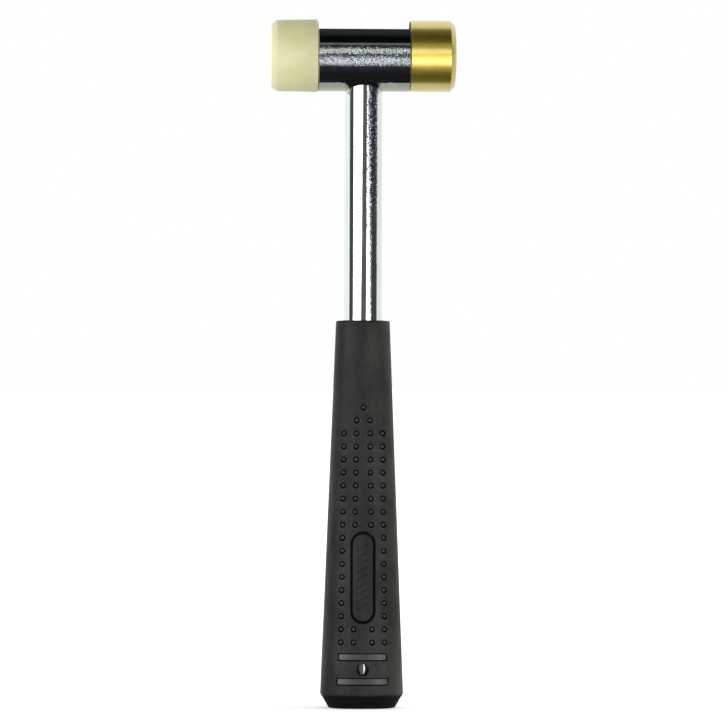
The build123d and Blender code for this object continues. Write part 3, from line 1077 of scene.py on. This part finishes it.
def studio_world():
    """A light tent, white behind the object and dark in front of it but for one panel.

    The panel is bright on both sides and dim between them, with a dark gap for the lens.
    across and up are where a direction crosses a plane a unit's distance in front.
    The camera itself sees plain white."""
    world = bpy.data.worlds.new("light_tent")
    world.use_nodes = True
    sky = Nodes(world.node_tree)
    direction = sky.node("TexCoord").outputs["Generated"]
    x, y, z = sky.node("SeparateXYZ", {"Vector": direction}).outputs
    ahead = sky.maths("MAXIMUM", sky.maths("MULTIPLY", y, -1.0), 0.02)
    across, up = sky.maths("DIVIDE", x, ahead), sky.maths("DIVIDE", z, ahead)

    def inverse(value):
        return sky.between(value, 0.0, 1.0, 1.0, 0.0)

    def past(value, edge, before=-0.03, after=0.03):
        """0 where a value is before a moving edge, 1 where it is past it."""
        return sky.between(sky.maths("SUBTRACT", value, edge), before, after, smooth=True)

    def within(value, low, high, low_blur, high_blur):
        rising = sky.between(value, low - low_blur, low + low_blur, smooth=True)
        falling = sky.between(value, high - high_blur, high + high_blur, 1.0, 0.0, smooth=True)
        return sky.times(rising, falling)

    # the panel, narrower above the lens than below it
    right_edge = sky.between(up, 0.0, 0.07, 1.12, 0.5)
    panel = sky.times(
        sky.between(across, -2.2, -2.05, smooth=True),
        inverse(past(across, right_edge, -0.1, 0.12)),
        within(up, -0.64, 0.36, 0.16, 0.04),
        sky.between(y, -0.05, -0.15),
    )
    left_side = sky.between(up, 0.0, 0.07, -0.27, -0.15)
    middle = sky.times(
        past(across, left_side), sky.between(across, 0.27, 0.33, 1.0, 0.0, smooth=True)
    )
    gap_left = sky.add(sky.times(up, 3.45), -0.29)
    gap_right = sky.between(up, -0.14, 0.03, -0.014, 0.37)
    gap = sky.times(
        past(across, gap_left),
        inverse(past(across, gap_right)),
        within(up, -0.2, 0.14, 0.07, 0.05),
    )
    side = sky.between(up, -0.12, -0.35, PANEL_RADIANCE, PANEL_FOOT_RADIANCE)
    lit = sky.times(
        panel,
        sky.between(gap, 0.0, 1.0, 1.0, GAP_SHARE),
        sky.add(side, sky.times(middle, sky.maths("SUBTRACT", MIDDLE_RADIANCE, side))),
    )

    # the dark front: dim low down, nearly black above a thin line of light, dim again overhead
    dim = sky.add(
        sky.between(z, 0.60, 0.66, 0.065, 0.005),
        sky.between(z, 0.86, 0.99, 0.0, 0.045),
        sky.times(within(up, 0.65, 0.77, 0.03, 0.03), 0.25),
    )
    dark = sky.times(dim, sky.between(z, -0.5, -0.9, 1.0, 0.3))

    # the white back, whose edge lies further back above, below and on the nylon side
    edge = sky.add(
        sky.times(sky.maths("MAXIMUM", z, 0.0), 0.10),
        sky.times(sky.maths("MINIMUM", z, 0.0), -0.17),
        sky.between(x, -0.97, -0.9, 0.05, 0.0),
    )
    behind = past(y, edge, 0.0, 0.06)
    back = sky.times(sky.between(z, -0.95, 0.0, 0.8, 1.05), sky.between(x, -1.0, 1.0, 1.06, 0.92))
    radiance = sky.add(sky.times(sky.add(lit, dark), inverse(behind)), sky.times(back, behind))
    cool = sky.blend(sky.between(up, -0.35, -0.1), (0.98, 1.0, 1.2), (1.0, 1.0, 1.0))
    tint = sky.blend(behind, cool, (0.94, 1.0, 0.955))

    lamp = sky.own("BACKGROUND")
    sky.set(lamp, {"Color": tint, "Strength": radiance})
    white = sky.node("Background", {"Color": (1.0, 1.0, 1.0), "Strength": 1.0})
    seen = sky.node("LightPath").outputs["Is Camera Ray"]
    pick = sky.node("MixShader", {0: seen, 1: lamp.outputs[0], 2: white.outputs[0]})
    sky.set(sky.own("OUTPUT_WORLD"), {"Surface": pick.outputs[0]})
    bpy.context.scene.world = world


def soft_light(name, place, turn, size, radiance):
    """A large soft light, which isn't mirrored in the metal."""
    data = bpy.data.lights.new(name, "AREA")
    data.size = size
    data.energy = radiance * pi * size * size
    light = add_object(name, data)
    light.location = place
    light.rotation_euler = Euler([radians(t) for t in turn])
    light.visible_camera = light.visible_glossy = False


def pale_floor():
    """A wide pale floor that fades to white far off. It doesn't light the object from below."""
    reach = 20.0
    mesh = bpy.data.meshes.new("floor")
    corners = [(-reach, -reach, 0), (reach, -reach, 0), (reach, reach, 0), (-reach, reach, 0)]
    mesh.from_pydata(corners, [], [(0, 1, 2, 3)])
    plane = add_object("floor", mesh)
    look = Look("pale_floor", (0.93, 0.93, 0.93), 0.9, **{"Specular IOR Level": 0.0})
    distance = look.node("VectorMath", {0: look.place()}, operation="LENGTH").outputs["Value"]
    glow = look.between(distance, 0.0, 1.0, 0.3, 0.9, smooth=True)
    mesh.materials.append(look.finish(Emission_Color=(1.0, 1.0, 1.0), Emission_Strength=glow))
    plane.visible_diffuse = plane.visible_glossy = plane.visible_shadow = False


def camera():
    """Far off, level with the hammer's middle, and a little to its nylon side."""
    data = bpy.data.cameras.new("camera")
    data.sensor_width, data.lens = 36.0, 217.5
    data.clip_start, data.clip_end = 0.05, 100
    cam = add_object("camera", data)
    turn, roll = radians(-2.0), radians(-0.2)
    aside, back, height = 0.00045, 1.567, 0.1223
    x, y = aside * cos(turn) + back * sin(turn), aside * sin(turn) - back * cos(turn)
    cam.location = (x, y, height)
    cam.rotation_euler = Euler((pi / 2, roll, turn))
    bpy.context.scene.camera = cam


# ---- the object and its stage ----
steel, brass, nylon = steel_look(), brass_look(), nylon_look()
chrome, rubber, fibre, plug = chrome_look(), rubber_look(), fibre_look(), plug_look()
head_body(steel)
screw_on_face("brass_striking_face", 1, brass_profile(), HEAD_R, "brass_face", brass)
screw_on_face(
    "nylon_striking_face", -1, nylon_profile(), NYLON_INNER_R, "nylon_face", nylon
)
face_washer("brass_seat_washer", 1, "brass_washer", "brass_face_washer", fibre)
face_washer("nylon_seat_washer", -1, "nylon_washer", "nylon_face_washer", fibre)
handle_tube(chrome)
grip(rubber)
for hidden in ("tube_expander", "tube_end_plug"):
    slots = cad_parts[hidden].data.materials
    slots.clear()
    slots.append(plug)

studio_world()
pale_floor()
soft_light("overhead", place=(0, 0, 1.6), turn=(0, 0, 0), size=2.2, radiance=0.25)
soft_light("left", place=(-1.2, -0.1, 0.3), turn=(0, -90, 0), size=1.0, radiance=4.0)
soft_light("right", place=(1.2, -0.1, 0.1), turn=(0, 90, 0), size=1.0, radiance=12.0)
camera()
bpy.context.scene.view_settings.view_transform = "Standard"
